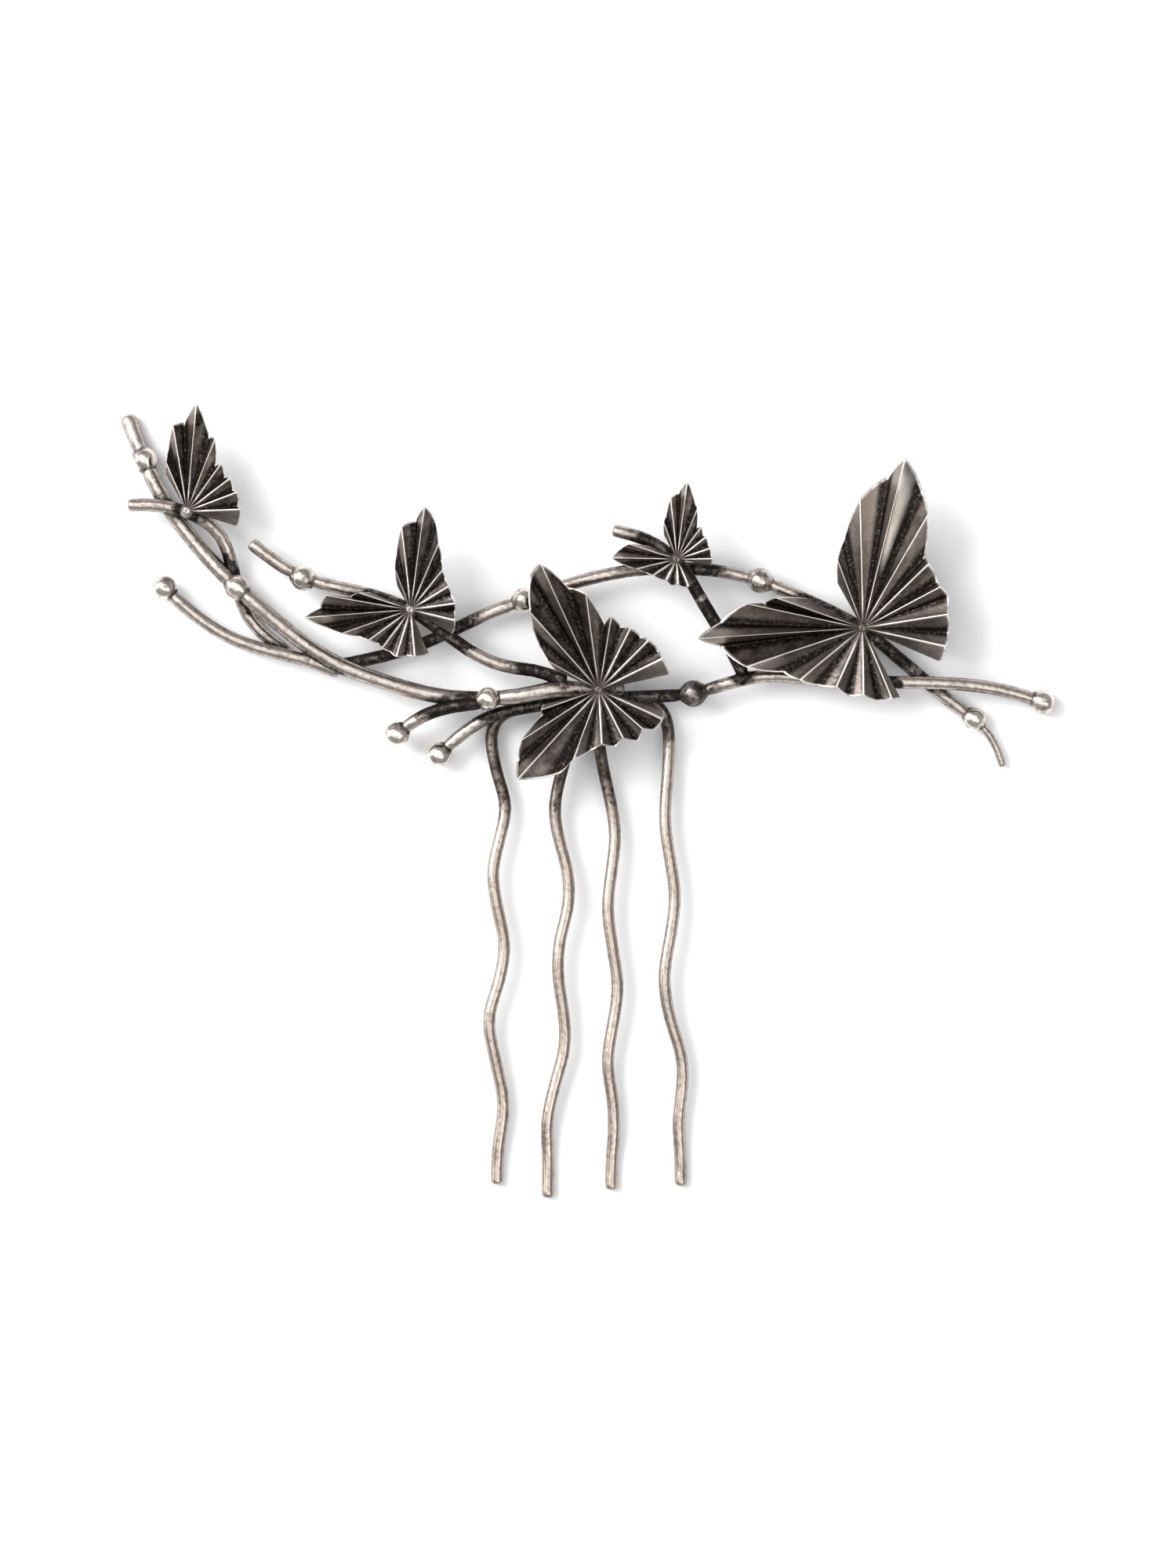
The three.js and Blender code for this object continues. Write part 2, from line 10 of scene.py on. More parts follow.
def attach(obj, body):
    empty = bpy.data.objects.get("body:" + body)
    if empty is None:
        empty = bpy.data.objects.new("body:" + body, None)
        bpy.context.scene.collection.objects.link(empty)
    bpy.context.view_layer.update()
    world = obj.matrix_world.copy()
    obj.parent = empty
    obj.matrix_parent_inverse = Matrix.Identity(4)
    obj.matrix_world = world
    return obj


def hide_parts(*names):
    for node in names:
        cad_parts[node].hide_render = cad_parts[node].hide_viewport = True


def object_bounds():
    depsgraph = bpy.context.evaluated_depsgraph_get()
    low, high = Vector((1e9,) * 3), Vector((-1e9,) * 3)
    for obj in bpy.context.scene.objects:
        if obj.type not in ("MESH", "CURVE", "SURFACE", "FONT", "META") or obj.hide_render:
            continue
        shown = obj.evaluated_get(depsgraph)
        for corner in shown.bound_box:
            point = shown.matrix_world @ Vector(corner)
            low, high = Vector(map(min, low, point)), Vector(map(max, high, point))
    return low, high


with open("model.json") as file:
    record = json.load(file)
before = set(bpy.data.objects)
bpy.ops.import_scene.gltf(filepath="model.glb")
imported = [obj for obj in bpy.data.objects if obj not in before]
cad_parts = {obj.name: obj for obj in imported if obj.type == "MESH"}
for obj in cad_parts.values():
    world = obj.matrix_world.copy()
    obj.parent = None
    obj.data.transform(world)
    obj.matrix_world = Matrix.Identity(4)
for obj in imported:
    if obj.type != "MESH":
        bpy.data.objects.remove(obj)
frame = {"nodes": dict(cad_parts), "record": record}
cad_lo, cad_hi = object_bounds()

MM = 1000.0
BOX_LO = np.array(cad_lo) * MM
BOX_HI = np.array(cad_hi) * MM
SLOTS = {part["node"]: part["material_slot"] for part in frame["record"]["subparts"]}
NAMES = sorted(frame["nodes"])
BEADS = [name for name in NAMES if SLOTS[name] == "bead"]
WINGS = [name for name in NAMES if SLOTS[name] == "pleated_wing"]
FORKS = [name for name in NAMES if SLOTS[name] == "tine_wire"]
WIRES = [name for name in NAMES if SLOTS[name] in ("stem_wire", "twig_wire")]

# All sizes are in mm, but for the camera, the lamps and the floor, which are in metres.
VOXEL = 0.12          # the fineness of the wires' skin
# The long wires get a coarser skin, so that each stays under 70,000 triangles.
COARSER = {"outer_fork": 0.152, "inner_fork": 0.145, "main_stem": 0.138, "arch_stem": 0.131}
RADIUS = {"tine_wire": 0.7, "stem_wire": 0.92, "twig_wire": 0.75, "tendril": 0.42}
WIRE_SWELL = 0.045    # makes up for the flats of the CAD's ten-sided wires
BEAD_NECK = 0.1       # how much thinner a wire is where it enters a bead
STRAIGHTENING = 440   # rounds of smoothing that take out the kinks of the CAD's short steps

CAD_SHEET = 0.5       # the CAD's pleated sheet, measured straight down
CAD_CROWN = 0.25      # the CAD's rounded top above the point where the pleats meet
SHEET = 0.45          # the fine sheet
RIM_ROUND = 0.12      # how far down the rim is rounded
RIM_SET_BACK = 0.06   # how far its skins stop short of it
WING_ROOT = 0.32      # distance from the middle at which a wing starts
CREST_HALF = 0.2      # half the width of a polished ridge
CREST_RISE = 0.11     # how far it stands above its panels

# How far the painted shade round a neighbour reaches along each wire, a painted shadow
# of the butterflies and stems near it, and the x that it starts from where only one side is shaded.
PAINTED_SHADE_NEAR = {
    "arch_stem": (("branch_butterfly", 6.0), ("top_butterfly", 4.5), ("main_stem", 3.0),
                  ("right_butterfly", 4.5, 34.0)),
    "lower_bar": (("centre_butterfly", 9.0), ("main_stem", 2.5), ("right_butterfly", 1.5)),
    "left_branch": (("centre_butterfly", 6.5), ("arch_stem", 4.5)),
    "top_twig": (("top_butterfly", 3.0), ("right_butterfly", 5.0), ("arch_stem", 3.0)),
    "short_twig": (("main_stem", 3.0),),
    "bead_twig": (("left_twig", 1.5),),
    "left_twig": (("main_stem", 1.6),),
    "outer_fork": (("lower_bar", 7.0), ("short_twig", 19.0), ("centre_butterfly", 3.0)),
    "inner_fork": (("lower_bar", 18.0), ("centre_butterfly", 8.0)),
}
# Wires whose joints are darkened less, as a share of the usual patina and painted shade there.
LIGHTER_JOINTS = {"bead_twig": 0.4}
# Beads that were left darker than the rest, and butterflies that were rubbed lighter.
DULL = {"bar_middle_bead": 1.0, "arch_top_bead": 0.55, "arch_end_bead": 0.3}
RUBBED = {"right_butterfly": 1.7, "centre_butterfly": 1.15}
# The panel beside its longest ridge is rubbed almost white.
RUBBED_PANEL = {"right_butterfly"}
# Middles that were polished with the twig they sit on.
BRIGHT_HUB = {"twig_butterfly": 0.3, "branch_butterfly": 0.2}

FORK_SEED, WIRE_SEED, BEAD_SEED, WING_SEED = 20, 40, 90, 200

CAMERA_AWAY = 1.2     # m
VIEW_HEIGHT = 0.1875  # m


# ---------------------------------------------------------------- meshes and arrays
def cad_arrays(name):
    """Points in mm and triangles of a CAD node, with equal points joined."""
    obj = frame["nodes"][name]
    mesh = obj.data
    mesh.calc_loop_triangles()
    points = np.empty(len(mesh.vertices) * 3, np.float32)
    mesh.vertices.foreach_get("co", points)
    points = points.reshape(-1, 3).astype(float)
    matrix = np.array(obj.matrix_world)
    points = (points @ matrix[:3, :3].T + matrix[:3, 3]) * MM
    tris = np.empty(len(mesh.loop_triangles) * 3, np.int32)
    mesh.loop_triangles.foreach_get("vertices", tris)
    keys = np.round(points / 0.002).astype(np.int64)
    _, first, place = np.unique(keys, axis=0, return_index=True, return_inverse=True)
    tris = place.reshape(-1)[tris].reshape(-1, 3)
    good = (tris[:, 0] != tris[:, 1]) & (tris[:, 1] != tris[:, 2]) & (tris[:, 2] != tris[:, 0])
    return points[first], tris[good]


def mesh_of(name, points, faces):
    """A new mesh from arrays of points and faces."""
    mesh = bpy.data.meshes.new(name)
    mesh.from_pydata(points.tolist(), [], [list(map(int, f)) for f in faces])
    mesh.update()
    return mesh


def quads_of(mesh):
    """Points and quads of an all-quad mesh."""
    points = np.empty(len(mesh.vertices) * 3, np.float32)
    mesh.vertices.foreach_get("co", points)
    loops = np.empty(len(mesh.loops), np.int32)
    mesh.loops.foreach_get("vertex_index", loops)
    return points.reshape(-1, 3).astype(float), loops.reshape(-1, 4)


def remeshed(name, points, tris, voxel):
    """The same solid skinned with small even quads."""
    mesh = mesh_of(name + "_raw", points, tris)
    obj = bpy.data.objects.new(name + "_raw", mesh)
    bpy.context.scene.collection.objects.link(obj)
    mod = obj.modifiers.new("skin", "REMESH")
    mod.mode = "VOXEL"
    mod.voxel_size = voxel
    graph = bpy.context.evaluated_depsgraph_get()
    made = bpy.data.meshes.new_from_object(obj.evaluated_get(graph))
    out = quads_of(made)
    bpy.data.objects.remove(obj)
    bpy.data.meshes.remove(mesh)
    bpy.data.meshes.remove(made)
    return out


def edges_of(faces):
    """Each edge of the faces once, as a pair of point numbers."""
    sides = np.vstack([faces[:, [i, (i + 1) % faces.shape[1]]] for i in range(faces.shape[1])])
    return np.unique(np.sort(sides, axis=1), axis=0)


def neighbour_mean(values, edges, count):
    """For each point, the mean of its neighbours' values."""
    out = np.zeros((count, values.shape[1]))
    for axis in range(values.shape[1]):
        column = values[:, axis]
        out[:, axis] = np.bincount(edges[:, 0], column[edges[:, 1]], count)
        out[:, axis] += np.bincount(edges[:, 1], column[edges[:, 0]], count)
    degree = np.bincount(edges.ravel(), minlength=count)
    return out / np.maximum(degree, 1)[:, None]


def smoothed(points, edges, rounds, amount=0.5):
    """Values at the points, each drawn towards its neighbours again and again."""
    for _ in range(rounds):
        points = points + amount * (neighbour_mean(points, edges, len(points)) - points)
    return points


def normals_of(points, faces):
    """Point normals of a quad mesh."""
    across = points[faces[:, 2]] - points[faces[:, 0]]
    face = np.cross(across, points[faces[:, 3]] - points[faces[:, 1]])
    out = np.zeros_like(points)
    for corner in range(4):
        for axis in range(3):
            out[:, axis] += np.bincount(faces[:, corner], face[:, axis], len(points))
    return out / np.maximum(np.linalg.norm(out, axis=1), 1e-9)[:, None]


def straightened(points, faces, edges, radius, shorter, longer):
    """Takes the kinks out of a tube: its axis is smoothed, and its section and ends are kept."""
    axis = points - normals_of(points, faces) * radius
    axis = smoothed(axis, edges, shorter)
    smooth = smoothed(axis, edges, longer)
    step = smooth[edges[:, 1]] - smooth[edges[:, 0]]
    shift = smooth - axis
    count = len(points)
    spread = np.zeros((count, 3, 3))
    for i in range(3):
        for j in range(i, 3):
            product = step[:, i] * step[:, j]
            total = np.bincount(edges[:, 0], product, count) + np.bincount(edges[:, 1], product, count)
            spread[:, i, j] = spread[:, j, i] = total
    trace = np.maximum(np.trace(spread, axis1=1, axis2=2), 1e-15)
    along = np.einsum("nij,nj->ni", spread / trace[:, None, None], shift)
    shift = shift - along
    far = np.linalg.norm(shift, axis=1)
    shift *= np.minimum(1, 0.25 / np.maximum(far, 1e-9))[:, None]
    return points + smoothed(shift, edges, shorter)


def noise_at(points, scale, seed):
    """Smooth noise between about -1 and 1, with features about as large as scale."""
    offset = Vector((seed * 17.31, seed * 5.77, seed * 11.13))
    return np.array([noise.noise(Vector(p) + offset) for p in points / scale])


def smoothstep(lo, hi, x):
    t = np.clip((x - lo) / (hi - lo), 0, 1)
    return t * t * (3 - 2 * t)


# ---------------------------------------------------------------- the CAD solids, for nearness
CAD = {name: cad_arrays(name) for name in NAMES}
TREES = {
    name: BVHTree.FromPolygons(CAD[name][0].tolist(), CAD[name][1].tolist()) for name in NAMES
}


def nearness(points, name, others, reach):
    """Distance in mm from each point to the nearest of the other nodes, up to reach."""
    out = np.full(len(points), reach)
    lo, hi = points.min(0) - reach, points.max(0) + reach
    for other in others:
        if other == name:
            continue
        cloud = CAD[other][0]
        if (cloud.max(0) < lo).any() or (cloud.min(0) > hi).any():
            continue
        near = ((points > cloud.min(0) - reach) & (points < cloud.max(0) + reach)).all(axis=1)
        tree = TREES[other]
        for i in np.flatnonzero(near):
            hit = tree.find_nearest(Vector(points[i]), out[i])
            if hit[0] is not None:
                out[i] = hit[3]
    return out


# ---------------------------------------------------------------- finished pieces
def finished(name, points, faces, marks):
    """Adds the piece in metres, inside the CAD box, with its named point marks."""
    points = np.clip(points, BOX_LO, BOX_HI)
    mesh = mesh_of(name + "_fine", points / MM, faces)
    for label, values in marks.items():
        layer = mesh.attributes.new(label, "FLOAT", "POINT")
        layer.data.foreach_set("value", np.clip(values, 0, 1).astype(np.float32))
    mesh.polygons.foreach_set("use_smooth", [True] * len(mesh.polygons))
    obj = bpy.data.objects.new(name + "_fine", mesh)
    bpy.context.scene.collection.objects.link(obj)
    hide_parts(name)
    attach(obj, "root")
    return obj


def flared(points, normals, gap, most):
    """Solder: the skin swells where another piece is close."""
    return points + normals * (most * np.clip(1 - gap / 0.75, 0, 1) ** 2)[:, None]


def patina_and_shade_of(name, points, edges, gap, bead_gap):
    """How dark a wire is at each point: patina at its joints with painted shade between the parts, and
    painted shade near its neighbours.
    """
    # Darker close to other wires, wings and beads: patina in the joints, partly painted shade between
    # the parts.
    patina_and_shade = np.maximum(1 - smoothstep(0.15, 1.8, gap), 0.8 - 0.8 * smoothstep(0.05, 0.7, bead_gap))
    patina_and_shade *= LIGHTER_JOINTS.get(name, 1.0)
    # Painted shade along the wire near the neighbours listed for it, on one side only where a start x is
    # given.
    for neighbour, reach, *start in PAINTED_SHADE_NEAR.get(name, ()):
        coarse = nearness(points[::10], name, [neighbour], reach)
        near = np.repeat(coarse, 10)[: len(points)]
        near = smoothed(near[:, None], edges, 20)[:, 0]
        if start:
            near = near + reach * (1 - smoothstep(start[0] - 1, start[0] + 1, points[:, 0]))
        patina_and_shade = np.maximum(patina_and_shade, 1 - smoothstep(0.45 * reach, reach, near))
    return patina_and_shade


def fine_wire(name, seed, rough):
    """A wire with even skin, no kinks, solder at its joints and an uneven surface."""
    voxel = COARSER.get(name, VOXEL)
    points, faces = remeshed(name, *CAD[name], voxel)
    edges = edges_of(faces)
    points = smoothed(points, edges, 14 if voxel < 0.15 else 10)
    radius = RADIUS.get(name, RADIUS[SLOTS[name]])
    rounds = int(STRAIGHTENING * (VOXEL / voxel) ** 2)
    points = straightened(points, faces, edges, radius, rounds // 16, rounds)
    normals = normals_of(points, faces)
    wire_gap = nearness(points, name, WIRES + FORKS, 3.0)
    bead_gap = nearness(points, name, BEADS, 3.0)
    gap = np.minimum(wire_gap, nearness(points, name, WINGS, 3.0))
    free = smoothstep(0.1, 1.3, bead_gap)
    points = points + normals * (WIRE_SWELL - BEAD_NECK * (1 - free))[:, None]
    points = flared(points, normals, wire_gap, 0.13 * free)
    points = smoothed(points, edges, 2)
    long = noise_at(points, 3.5, seed)
    pits = noise_at(points, 0.55, seed + 1)
    grain = noise_at(points, 0.28, seed + 2)
    points = points + normals * (rough * (0.9 * long + 0.8 * pits + 0.45 * grain))[:, None]
    marks = {
        "patina_and_shade": patina_and_shade_of(name, points, edges, gap, bead_gap),
        # How much each point faces up; the material paints what faces away darker: painted shade, partly
        # wear from polishing the top.
        "upward": smoothstep(-0.15, 0.85, normals[:, 2]),
        "pit": 0.5 - 1.1 * pits - 0.5 * grain,
    }
    return finished(name, points, faces, marks)


def sphere_fit(points):
    """Centre and radius of the ball that most of the points lie on."""
    centre = (points.max(0) + points.min(0)) / 2
    for _ in range(12):
        reach = np.linalg.norm(points - centre, axis=1)
        outer = points[reach > np.quantile(reach, 0.35)]
        system = np.hstack([2 * outer, np.ones((len(outer), 1))])
        found = np.linalg.lstsq(system, (outer**2).sum(1), rcond=None)[0]
        centre = found[:3]
    return centre, math.sqrt(found[3] + centre @ centre)


def ball_arrays(fineness):
    """Points and triangles of an even ball with a radius of 1."""
    shell = bmesh.new()
    bmesh.ops.create_icosphere(shell, subdivisions=fineness, radius=1.0)
    points = np.array([v.co[:] for v in shell.verts])
    tris = np.array([[v.index for v in f.verts] for f in shell.faces])
    shell.free()
    return points, tris


def fine_bead(name, seed):
    """A full ball with small dents, flared where it meets its wires."""
    centre, radius = sphere_fit(CAD[name][0])
    unit, faces = ball_arrays(6)
    points = centre + unit * radius
    gap = nearness(points, name, WIRES + FORKS, 2.0)
    points = points + unit * (0.16 * np.clip(1 - gap / 0.42, 0, 1) ** 2)[:, None]
    dents = noise_at(points, 1.2, seed)
    pits = noise_at(points, 0.3, seed + 1)
    points = points + unit * (0.03 * dents + 0.007 * pits)[:, None]
    marks = {
        # Darker round its wires: patina in the joints, partly painted shade; the beads in DULL are
        # darker all over.
        "patina_and_shade": np.maximum(0.8 - 0.8 * smoothstep(0.08, 0.5, gap), DULL.get(name, 0.0)),
        "upward": smoothstep(-0.7, 0.45, unit[:, 2]),
        "pit": 0.5 - 0.9 * pits,
    }
    return finished(name, points, faces, marks)


# ---------------------------------------------------------------- butterflies
def folds_of(name):
    """The middle of a butterfly and its wings, each a row of fold ends from valley to valley."""
    points, tris = CAD[name]
    valence = np.bincount(edges_of(tris).ravel(), minlength=len(points))
    middle = points[valence.argmax()] - np.array([0, 0, CAD_CROWN])
    tops = []
    for i, p in enumerate(points):
        flat = np.hypot(points[:, 0] - p[0], points[:, 1] - p[1])
        under = (flat < 0.02) & (abs(p[2] - points[:, 2] - CAD_SHEET) < 0.02)
        if under.any() and math.hypot(*(p[:2] - middle[:2])) > 2:
            tops.append(p)
    tops = np.array(tops)
    away = tops - middle
    order = np.argsort(np.arctan2(away[:, 1], away[:, 0]))
    tops, away = tops[order], away[order]
    steep = away[:, 2] / np.hypot(away[:, 0], away[:, 1])
    ridge = steep - (np.roll(steep, 1) + np.roll(steep, -1)) / 2 > 0.04
    starts = [i for i in range(len(tops)) if not ridge[i] and not ridge[i - 1]]
    wings = []
    for k, start in enumerate(starts):
        end = starts[(k + 1) % len(starts)]
        count = (end - start) % len(tops) or len(tops)
        index = [(start + j) % len(tops) for j in range(count)]
        wings.append((tops[index], ridge[index]))
    return middle, wings


def panel_knots(half, width, from_ridge, first):
    """Where a panel's columns of points lie, as shares of its width, row by row."""
    near = np.array([0.0, 0.4, 0.7, 1.0, 1.3])
    bend = np.array([0.12, 0.2, 0.3, 0.42, 0.56, 0.7, 0.82, 0.92, 1.0])
    inner = half[:, None] * near[None, :] / width[:, None]
    rest = inner[:, -1:] + (1 - inner[:, -1:]) * bend[None, :]
    knots = np.hstack([inner, rest])
    if not from_ridge:
        knots = 1 - knots[:, ::-1]
    return knots if first else knots[:, 1:]


def panel_columns(middle, a, b, u, from_ridge, first, outer, patched):
    """The columns of points between two folds, and how polished and how deep they are."""
    width = np.linalg.norm(b - a, axis=1)
    half = np.minimum(CREST_HALF, 0.36 * width)
    columns = []
    for s in panel_knots(half, width, from_ridge, first).T:
        across = s if from_ridge else 1 - s
        gone = across * width
        place = a + (b - a) * s[:, None]
        lift = CREST_RISE * np.minimum(1, half / CREST_HALF)
        rise = lift * (1 - smoothstep(0.55, 1.15, gone / half))
        sag = 0.055 * width * 4 * across * (1 - across)
        place[:, 2] += rise - sag * smoothstep(0.0, 0.35, u)
        bow = 0.07 * width * 4 * s * (1 - s) * u**3
        out = (place - middle) * np.array([1, 1, 0])
        out /= np.linalg.norm(out, axis=1)[:, None]
        place += out * bow[:, None]
        polish = 1 - smoothstep(0.8, 1.15, gone / half)
        if patched:
            worn = 0.95 * smoothstep(0.3, 0.55, u) * (1 - smoothstep(0.8, 0.98, u))
            polish = np.maximum(polish, worn * (1 - smoothstep(0.35, 0.75, across)))
        # The panels at the free edges get no darkening towards their valley, so that their painted light
        # stays whole.
        deep = smoothstep(0.4, 0.95, across) * (0.0 if outer else 1.0)
        columns.append((place, polish, deep))
    return columns


def sheet_faces(rows, wide):
    """Quads of a closed sheet: top skin, underside, rounded rim, root and two free edges.

    The points are the top skin, the underside, and the rim's upper and lower rows."""
    count = rows * wide
    index = np.arange(count).reshape(rows, wide)
    block = np.stack([index[:-1, :-1], index[1:, :-1], index[1:, 1:], index[:-1, 1:]], -1)
    block = block.reshape(-1, 4)
    faces = [block, block[:, ::-1] + count]
    rim = np.arange(wide)
    rings = [index[-1], 2 * count + rim, 2 * count + wide + rim, index[-1] + count]
    for upper, lower in zip(rings[:-1], rings[1:]):
        faces.append(np.stack([upper[:-1], lower[:-1], lower[1:], upper[1:]], -1))
    root = index[0]
    faces.append(np.stack([root[1:], root[1:] + count, root[:-1] + count, root[:-1]], -1))
    for side, turned in ((0, False), (-1, True)):
        strip = index[:, side]
        quads = np.stack([strip[:-1], strip[:-1] + count, strip[1:] + count, strip[1:]], -1)
        faces.append(quads[:, ::-1] if turned else quads)
    for side, turned in ((0, True), (-1, False)):
        corner = np.array([[ring[side] for ring in rings]])
        faces.append(corner[:, ::-1] if turned else corner)
    return np.vstack(faces)


def wing_arrays(middle, tops, ridge, seed, rows, longest, rubbed, patch_beside):
    """One pleated wing as a closed mesh, with the marks of its points."""
    rng = np.random.default_rng(seed)
    reach = np.linalg.norm((tops - middle)[:, :2], axis=1)
    u = np.linspace(0, 1, rows) ** 0.85
    lines = []
    for top, far in zip(tops, reach):
        share = WING_ROOT / far + u * (1 - WING_ROOT / far)
        lines.append(middle + share[:, None] * (top - middle))
    columns, tone = [], []
    patched = int(reach.argmax()) - 1 if patch_beside else -1
    for k in range(len(tops) - 1):
        # A random tone for each panel, 0.2 lighter for the panels that start at a ridge: painted light,
        # one side of every ridge lit and the other shaded.
        shade = (rng.uniform(0.1, 0.65) + (0.2 if ridge[k] else 0.0)) * rubbed
        outer = k in (0, len(tops) - 2)
        made = panel_columns(
            middle, lines[k], lines[k + 1], u, ridge[k], k == 0, outer, k == patched
        )
        columns += made
        # The first and last panel of a wing are painted fully light: painted light on the panels at its
        # free edges.
        tone += [np.full(rows, 1.0 if outer else shade)] * len(made)
    flat = np.array([place for place, _, _ in columns]).transpose(1, 0, 2)
    crest = np.array([polish for _, polish, _ in columns]).T.ravel()
    valley = np.array([deep for _, _, deep in columns]).T.ravel()
    tone = np.array(tone).T.ravel()
    wide = flat.shape[1]
    count = rows * wide
    flat = flat.reshape(-1, 3)
    away = (flat - middle)[:, :2]
    turn = np.arctan2(away[:, 1], away[:, 0])
    far = np.hypot(away[:, 0], away[:, 1])
    polar = np.stack([far / 1.6, turn * 9, np.zeros(count)], axis=1)
    streak = noise_at(polar, 1.0, seed)
    dent = noise_at(flat, 0.9, seed + 1)
    grain = noise_at(flat, 0.3, seed + 2)
    calm = 1 - 0.75 * crest
    flat[:, 2] += (0.035 * dent + 0.02 * grain) * calm * smoothstep(0.4, 2.0, far)
    # the rim: both skins stop short, and two rows between them make its rounded edge
    out = np.hstack([away, np.zeros((count, 1))]) / far[:, None]
    last = slice(count - wide, count)
    under = flat.copy()
    under[:, 2] -= SHEET + CREST_RISE * crest * 0.9
    rim_upper, rim_lower = flat[last].copy(), flat[last].copy()
    rim_upper[:, 2] -= RIM_ROUND
    rim_lower[:, 2] -= SHEET - RIM_ROUND
    flat[last] -= out[last] * RIM_SET_BACK
    under[last] -= out[last] * RIM_SET_BACK
    edge = np.zeros(count)
    edge[last] = 1
    edge[count - 2 * wide:count - wide] = 0.8
    skin, row = np.ones(count), np.ones(wide)
    marks = {
        "crest": np.concatenate([crest, 0 * skin, 0 * row, 0 * row]),
        "valley": np.concatenate([valley, 0.6 * skin, 0.3 * row, 0.3 * row]),
        "tone": np.concatenate([tone + 0.3 * streak, 0.35 * skin, 0.5 * row, 0.5 * row]),
        "rim": np.concatenate([edge, 0 * skin, 0.9 * row, 0.3 * row]),
        "out": np.concatenate([far, far, far[last], far[last]]) / longest,
    }
    return np.vstack([flat, under, rim_upper, rim_lower]), sheet_faces(rows, wide), marks


def hub_arrays(name, middle):
    """The pinched middle: a short fluted post with a small dimpled crown."""
    foot = max(CAD[name][0][:, 2].min(), middle[2] - 2.2) - middle[2]
    profile = [(0.0, 0.10), (0.12, 0.13), (0.26, 0.2), (0.4, 0.16), (0.55, 0.02), (0.72, -0.2),
               (0.82, -0.5), (0.86, -0.9), (0.9, foot), (0.0, foot)]
    around = 64
    rings = len(profile) - 2
    points, faces = [], []
    for r, z in profile:
        if r == 0.0:
            points.append(middle + np.array([0, 0, z]))
            continue
        for i in range(around):
            t = 2 * math.pi * i / around
            flute = 1 + 0.05 * math.cos(16 * t) * (0.1 < r < 0.8)
            points.append(middle + np.array([r * flute * math.cos(t), r * flute * math.sin(t), z]))
    lowest = 1 + (rings - 1) * around
    for i in range(around):
        n = (i + 1) % around
        faces.append([0, 1 + i, 1 + n])
        for ring in range(rings - 1):
            a, b = 1 + ring * around, 1 + (ring + 1) * around
            faces.append([a + i, b + i, b + n])
            faces.append([a + i, b + n, a + n])
        faces.append([lowest + i, len(points) - 1, lowest + n])
    marks = {
        "crest": np.zeros(len(points)),
        "valley": np.full(len(points), 0.5),
        "tone": np.full(len(points), 0.55),
        "rim": np.full(len(points), BRIGHT_HUB.get(name, 0.0)),
        "out": np.full(len(points), 0.03),
    }
    return np.array(points), np.array(faces), marks


def span_of(middle, tops):
    """How far the longest fold of a wing reaches."""
    return np.hypot(*(tops - middle)[:, :2].T).max()


def fine_butterfly(name, seed):
    """All wings of a butterfly and its pinched middle as one object."""
    middle, wings = folds_of(name)
    longest = max(span_of(middle, tops) for tops, _ in wings)
    rows = 54
    parts = [hub_arrays(name, middle)]
    for k, (tops, ridge) in enumerate(wings):
        patch_beside = name in RUBBED_PANEL and span_of(middle, tops) == longest
        points, faces, marks = wing_arrays(
            middle, tops, ridge, seed + 10 * k, rows, longest, RUBBED.get(name, 1.0), patch_beside
        )
        tris = np.vstack([faces[:, [0, 1, 2]], faces[:, [0, 2, 3]]])
        parts.append((points, tris, marks))
    shift, points, faces, marks = 0, [], [], {}
    for p, f, m in parts:
        points.append(p)
        faces.append(f + shift)
        shift += len(p)
        for label, values in m.items():
            marks.setdefault(label, []).append(values)
    marks = {label: np.concatenate(values) for label, values in marks.items()}
    return finished(name, np.vstack(points), np.vstack(faces), marks)


# ---------------------------------------------------------------- materials
def new_material(name):
    """A metal with its node tree and its shader."""
    mat = bpy.data.materials.new(name)
    mat.use_nodes = True
    tree = mat.node_tree
    tree.nodes.clear()
    out = tree.nodes.new("ShaderNodeOutputMaterial")
    shader = tree.nodes.new("ShaderNodeBsdfPrincipled")
    shader.inputs["Metallic"].default_value = 1.0
    tree.links.new(shader.outputs[0], out.inputs[0])
    return mat, tree, shader


def mark(tree, label):
    """One of the marks that finished() stores on the points."""
    node = tree.nodes.new("ShaderNodeAttribute")
    node.attribute_name = label
    return node.outputs["Fac"]


def maths(tree, kind, a, b, clamp=False):
    node = tree.nodes.new("ShaderNodeMath")
    node.operation = kind
    node.use_clamp = clamp
    for socket, value in zip(node.inputs, (a, b)):
        if isinstance(value, (int, float)):
            socket.default_value = value
        else:
            tree.links.new(value, socket)
    return node.outputs[0]


def ranged(tree, value, lo, hi, to_lo=0.0, to_hi=1.0):
    """A soft step of value, from to_lo at lo to to_hi at hi."""
    node = tree.nodes.new("ShaderNodeMapRange")
    node.interpolation_type = "SMOOTHSTEP"
    tree.links.new(value, node.inputs["Value"])
    node.inputs["From Min"].default_value = lo
    node.inputs["From Max"].default_value = hi
    node.inputs["To Min"].default_value = to_lo
    node.inputs["To Max"].default_value = to_hi
    return node.outputs[0]


def texture(tree, per_m, detail=3.0, rough=0.6):
    """Noise that is fixed to the piece, with per_m features in a metre."""
    coords = tree.nodes.new("ShaderNodeTexCoord")
    node = tree.nodes.new("ShaderNodeTexNoise")
    node.inputs["Scale"].default_value = per_m
    node.inputs["Detail"].default_value = detail
    node.inputs["Roughness"].default_value = rough
    tree.links.new(coords.outputs["Object"], node.inputs["Vector"])
    return node.outputs["Fac"]


